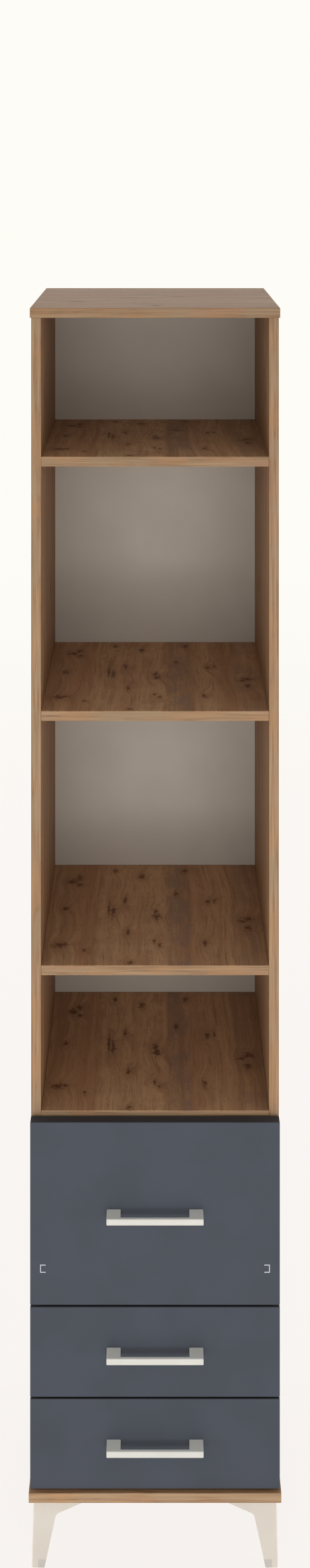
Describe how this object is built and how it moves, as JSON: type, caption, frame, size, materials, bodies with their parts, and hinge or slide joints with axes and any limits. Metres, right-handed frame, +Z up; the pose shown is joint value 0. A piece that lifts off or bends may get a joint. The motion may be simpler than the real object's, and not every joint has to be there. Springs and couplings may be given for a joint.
{
  "type": "bookcase with bottom drawers",
  "caption": "Tall narrow bookcase: open bays over full-width drawers with bar handles, on tapered corner legs.",
  "frame": {"origin": "on the floor under the middle of the outline, handles included", "axes": "+Z up, +X to the right seen from the front, the drawers open towards -Y"},
  "size_m": [0.404, 0.3774, 2.022],
  "materials": {
    "oak_laminate": "matt oak-grain laminate with darker knots",
    "front_laminate": "matt blue-grey laminate",
    "back_board": "grey faced fibreboard, slightly satin",
    "drawer_bottom_board": "white faced fibreboard",
    "drawer_box_laminate": "pale grey laminate",
    "handle_enamel": "cream satin enamel",
    "leg_plastic": "cream moulded plastic",
    "runner_enamel": "cream powder-coated steel",
    "roller_plastic": "natural nylon",
    "fastener_steel": "zinc plated",
    "zinc_cast": "die-cast zinc"
  },
  "bodies": {
    "carcass": {"back_panel": "back_board", "base_board": "oak_laminate", "carcass_screws": "fastener_steel", "divider_board": "oak_laminate", "front_leg_left": "leg_plastic", "front_leg_right": "leg_plastic", "lower_drawer_channel_left": "runner_enamel", "lower_drawer_channel_right": "runner_enamel", "lower_shelf": "oak_laminate", "middle_drawer_channel_left": "runner_enamel", "middle_drawer_channel_right": "runner_enamel", "middle_shelf": "oak_laminate", "mounting_screws": "fastener_steel", "rear_leg_left": "leg_plastic", "rear_leg_right": "leg_plastic", "side_panel_left": "oak_laminate", "side_panel_right": "oak_laminate", "tall_drawer_channel_left": "runner_enamel", "tall_drawer_channel_right": "runner_enamel", "top_board": "oak_laminate", "upper_shelf": "oak_laminate"},
    "tall_drawer": {"tall_drawer_back": "drawer_box_laminate", "tall_drawer_bottom": "drawer_bottom_board", "tall_drawer_cam_locks": "zinc_cast", "tall_drawer_front": "front_laminate", "tall_drawer_handle": "handle_enamel", "tall_drawer_handle_screws": "fastener_steel", "tall_drawer_runner_left": "runner_enamel", "tall_drawer_runner_right": "runner_enamel", "tall_drawer_runner_screws": "fastener_steel", "tall_drawer_side_left": "drawer_box_laminate", "tall_drawer_side_right": "drawer_box_laminate"},
    "tall_drawer_front_rollers": {"tall_drawer_front_rollers": "roller_plastic"},
    "tall_drawer_rear_rollers": {"tall_drawer_rear_rollers": "roller_plastic"},
    "middle_drawer": {"middle_drawer_back": "drawer_box_laminate", "middle_drawer_bottom": "drawer_bottom_board", "middle_drawer_cam_locks": "zinc_cast", "middle_drawer_front": "front_laminate", "middle_drawer_handle": "handle_enamel", "middle_drawer_handle_screws": "fastener_steel", "middle_drawer_runner_left": "runner_enamel", "middle_drawer_runner_right": "runner_enamel", "middle_drawer_runner_screws": "fastener_steel", "middle_drawer_side_left": "drawer_box_laminate", "middle_drawer_side_right": "drawer_box_laminate"},
    "middle_drawer_front_rollers": {"middle_drawer_front_rollers": "roller_plastic"},
    "middle_drawer_rear_rollers": {"middle_drawer_rear_rollers": "roller_plastic"},
    "lower_drawer": {"lower_drawer_back": "drawer_box_laminate", "lower_drawer_bottom": "drawer_bottom_board", "lower_drawer_cam_locks": "zinc_cast", "lower_drawer_front": "front_laminate", "lower_drawer_handle": "handle_enamel", "lower_drawer_handle_screws": "fastener_steel", "lower_drawer_runner_left": "runner_enamel", "lower_drawer_runner_right": "runner_enamel", "lower_drawer_runner_screws": "fastener_steel", "lower_drawer_side_left": "drawer_box_laminate", "lower_drawer_side_right": "drawer_box_laminate"},
    "lower_drawer_front_rollers": {"lower_drawer_front_rollers": "roller_plastic"},
    "lower_drawer_rear_rollers": {"lower_drawer_rear_rollers": "roller_plastic"}
  },
  "joints": [
    {"name": "tall_drawer_slide", "type": "slide", "parent": "carcass", "child": "tall_drawer", "axis": [0, -1, 0], "range_m": [0, 0.215]},
    {"name": "middle_drawer_slide", "type": "slide", "parent": "carcass", "child": "middle_drawer", "axis": [0, -1, 0], "range_m": [0, 0.215]},
    {"name": "lower_drawer_slide", "type": "slide", "parent": "carcass", "child": "lower_drawer", "axis": [0, -1, 0], "range_m": [0, 0.215]},
    {"name": "tall_drawer_front_roller_turn", "type": "hinge", "parent": "carcass", "child": "tall_drawer_front_rollers", "pos_m": [0, -0.12925, 0.4866], "axis": [1, 0, 0], "continuous": true},
    {"name": "tall_drawer_rear_roller_turn", "type": "hinge", "parent": "tall_drawer", "child": "tall_drawer_rear_rollers", "pos_m": [0, 0.13575, 0.4843], "axis": [1, 0, 0], "continuous": true},
    {"name": "middle_drawer_front_roller_turn", "type": "hinge", "parent": "carcass", "child": "middle_drawer_front_rollers", "pos_m": [0, -0.12925, 0.3393], "axis": [1, 0, 0], "continuous": true},
    {"name": "middle_drawer_rear_roller_turn", "type": "hinge", "parent": "middle_drawer", "child": "middle_drawer_rear_rollers", "pos_m": [0, 0.13575, 0.337], "axis": [1, 0, 0], "continuous": true},
    {"name": "lower_drawer_front_roller_turn", "type": "hinge", "parent": "carcass", "child": "lower_drawer_front_rollers", "pos_m": [0, -0.12925, 0.192], "axis": [1, 0, 0], "continuous": true},
    {"name": "lower_drawer_rear_roller_turn", "type": "hinge", "parent": "lower_drawer", "child": "lower_drawer_rear_rollers", "pos_m": [0, 0.13575, 0.1897], "axis": [1, 0, 0], "continuous": true}
  ],
  "couplings": [
    {"joint": "tall_drawer_front_roller_turn", "follows": "tall_drawer_slide", "rad_per_m": 212.77},
    {"joint": "tall_drawer_rear_roller_turn", "follows": "tall_drawer_slide", "rad_per_m": 212.77},
    {"joint": "middle_drawer_front_roller_turn", "follows": "middle_drawer_slide", "rad_per_m": 212.77},
    {"joint": "middle_drawer_rear_roller_turn", "follows": "middle_drawer_slide", "rad_per_m": 212.77},
    {"joint": "lower_drawer_front_roller_turn", "follows": "lower_drawer_slide", "rad_per_m": 212.77},
    {"joint": "lower_drawer_rear_roller_turn", "follows": "lower_drawer_slide", "rad_per_m": 212.77}
  ]
}
